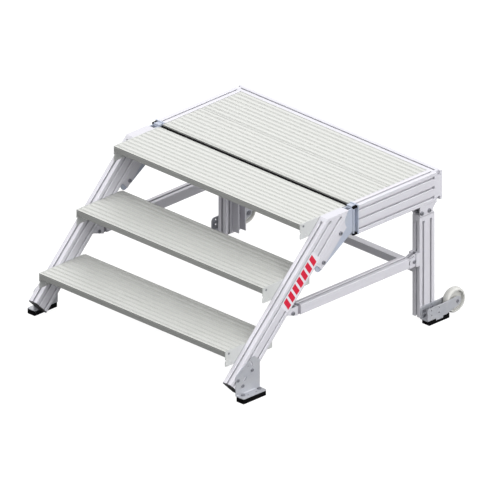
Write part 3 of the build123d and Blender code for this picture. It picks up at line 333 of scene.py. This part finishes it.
def material_for(node):
    slot, along = slot_of[node], grain_of(node)
    key = (slot, along)
    if slot == "wheel_plastic":
        key = (slot, node)
    if key not in made:
        name = slot + "_" + grain_name(along)
        if slot == "aluminium_profile":
            made[key] = extruded(name, ALUMINIUM, along)
        elif slot == "tread_aluminium":
            # the second tone is the painted shade for the tread's front faces
            made[key] = tread_skin(name, "#b2b3b0", "#818280")
        elif slot == "end_plate_aluminium":
            made[key] = extruded(name, "#adafad", along, 0.4)
        elif slot == "cap_aluminium":
            made[key] = extruded(name, "#b3b2b8", along, 0.5, 0.15)
        elif slot == "zinc_plate":
            made[key] = plated(name, "#a2a9ba", "#a5aab4")
        elif slot == "steel_plate":
            made[key] = plated(name, "#9c9ea5", "#a3a4a8")
        elif slot == "black_plastic":
            made[key] = moulded(name, "#232325", "#414143", 0.5)
        elif slot == "pad_rubber":
            made[key] = moulded(name, "#040405", "#101012", 0.85, 900.0, 0.12, 0.05)
        elif slot == "grey_plastic":
            made[key] = moulded(name, "#6c6970", "#8b8890", 0.55)
        elif slot == "bush_nylon":
            made[key] = moulded(name, "#b4b4ae", "#c8c8c2", 0.5)
        elif slot == "dark_bolt":
            made[key] = turned(name, "#6f7076", "#7d7e84")
        elif slot == "screw_steel":
            made[key] = turned(name, "#84868c", "#75767b")
        elif slot == "label_film":
            made[key] = film(name, "#bab9bf", "#b2b1b7")
        elif slot == "wheel_plastic":
            lo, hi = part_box(node)
            made[key] = wheel_plastic(name + "_" + node, (lo + hi) / 2)
    return made[key]


for name, node in nodes.items():
    node.data.materials.clear()
    node.data.materials.append(material_for(name))


# ---- bars on the label, in place of printing ----
def label_bars():
    """A row of slanted red blocks on the label film."""
    low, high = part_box("stringer_label")
    centre = (low + high) / 2
    surface = high.x
    red = film("label_print", "#b0082c", "#9c0a28")
    side = Vector((0, -UPHILL[2], UPHILL[1]))
    count, pitch, block_length, lean = 7, 32 * MM, 22 * MM, 9 * MM
    top, bottom, thick = 22 * MM, -22 * MM, 0.15 * MM
    mesh = bpy.data.meshes.new("label_bars")
    verts, faces = [], []

    def quad(corners):
        first = len(verts)
        for lift in (0.0, thick):
            for run, rise in corners:
                point = centre + Vector(UPHILL) * run + side * rise
                verts.append((surface + lift, point.y, point.z))
        faces.append([first + i for i in (3, 2, 1, 0)])
        faces.append([first + i for i in (4, 5, 6, 7)])
        for i in range(4):
            j = (i + 1) % 4
            faces.append([first + i, first + j, first + 4 + j, first + 4 + i])

    for i in range(count):
        start = (i - count / 2) * pitch + (pitch - block_length - lean) / 2
        quad([(start, bottom), (start + block_length, bottom),
              (start + block_length + lean, top), (start + lean, top)])
    mesh.from_pydata(verts, [], faces)
    mesh.materials.append(red)
    mesh.validate()
    bars = bpy.data.objects.new("label_bars", mesh)
    bpy.context.scene.collection.objects.link(bars)
    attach(bars, "frame")


label_bars()


# ---- studio ----
def floor():
    size = FLOOR_HALF_SIZE
    corners = [(-size, -size, 0), (size, -size, 0), (size, size, 0), (-size, size, 0)]
    mesh = bpy.data.meshes.new("floor")
    mesh.from_pydata(corners, [], [(0, 1, 2, 3)])
    s = Surface("floor_paint", 0.9)
    s.colour(s.mix(s.spread(s.noise(3.0), 0.0, 1.0), linear("#5e5e5e"), linear("#626262")))
    s.shader.inputs["Specular IOR Level"].default_value = 0.1
    s.shader.inputs["Emission Color"].default_value = (1, 1, 1, 1)
    seen = s.new("ShaderNodeLightPath").outputs["Is Camera Ray"]
    s.link(s.maths("MULTIPLY", seen, FLOOR_GLOW), s.shader.inputs["Emission Strength"])
    mesh.materials.append(s.material)
    plane = bpy.data.objects.new("floor", mesh)
    bpy.context.scene.collection.objects.link(plane)


def studio_dome(lights, fill):
    """Soft light from all round, with one wide glow for each (direction, strength, tightness)."""
    world = bpy.data.worlds.new("studio")
    world.use_nodes = True
    tree = world.node_tree
    background = tree.nodes["Background"]
    towards = tree.nodes.new("ShaderNodeTexCoord").outputs["Generated"]
    total = None
    for direction, strength, tightness in lights:
        dot = tree.nodes.new("ShaderNodeVectorMath")
        dot.operation = "DOT_PRODUCT"
        dot.inputs[1].default_value = Vector(direction).normalized()
        tree.links.new(towards, dot.inputs[0])
        lobe = tree.nodes.new("ShaderNodeMath")
        lobe.operation = "POWER"
        front = tree.nodes.new("ShaderNodeMath")
        front.operation = "MAXIMUM"
        tree.links.new(dot.outputs["Value"], front.inputs[0])
        tree.links.new(front.outputs["Value"], lobe.inputs[0])
        lobe.inputs[1].default_value = tightness
        scaled = tree.nodes.new("ShaderNodeMath")
        scaled.operation = "MULTIPLY_ADD"
        tree.links.new(lobe.outputs["Value"], scaled.inputs[0])
        scaled.inputs[1].default_value = strength
        scaled.inputs[2].default_value = fill
        if total is not None:
            tree.links.new(total, scaled.inputs[2])
        total = scaled.outputs["Value"]
    tree.links.new(total, background.inputs["Strength"])
    background.inputs["Color"].default_value = (1, 1, 1, 1)
    bpy.context.scene.world = world


def camera():
    """Level-sided view from the front right, with no perspective."""
    target = Vector((4.6, 1.0, 285.6)) * MM
    low, side = math.radians(25.04), math.radians(45)
    away = Vector((math.cos(low) * math.cos(side), -math.cos(low) * math.sin(side), math.sin(low)))
    lens = bpy.data.cameras.new("view")
    lens.type = "ORTHO"
    lens.ortho_scale = 1857.3 * MM
    lens.clip_end = 100.0
    eye = bpy.data.objects.new("view", lens)
    eye.location = target + away * EYE_DISTANCE
    eye.rotation_euler = away.to_track_quat("Z", "Y").to_euler()
    bpy.context.scene.collection.objects.link(eye)
    bpy.context.scene.camera = eye


floor()
studio_dome([((1.0, -0.1, 0.2), 4.5, 2.0), ((0.1, 0.0, 1.0), 1.3, 4.0)], 0.13)
camera()
bpy.context.scene.view_settings.view_transform = "Standard"
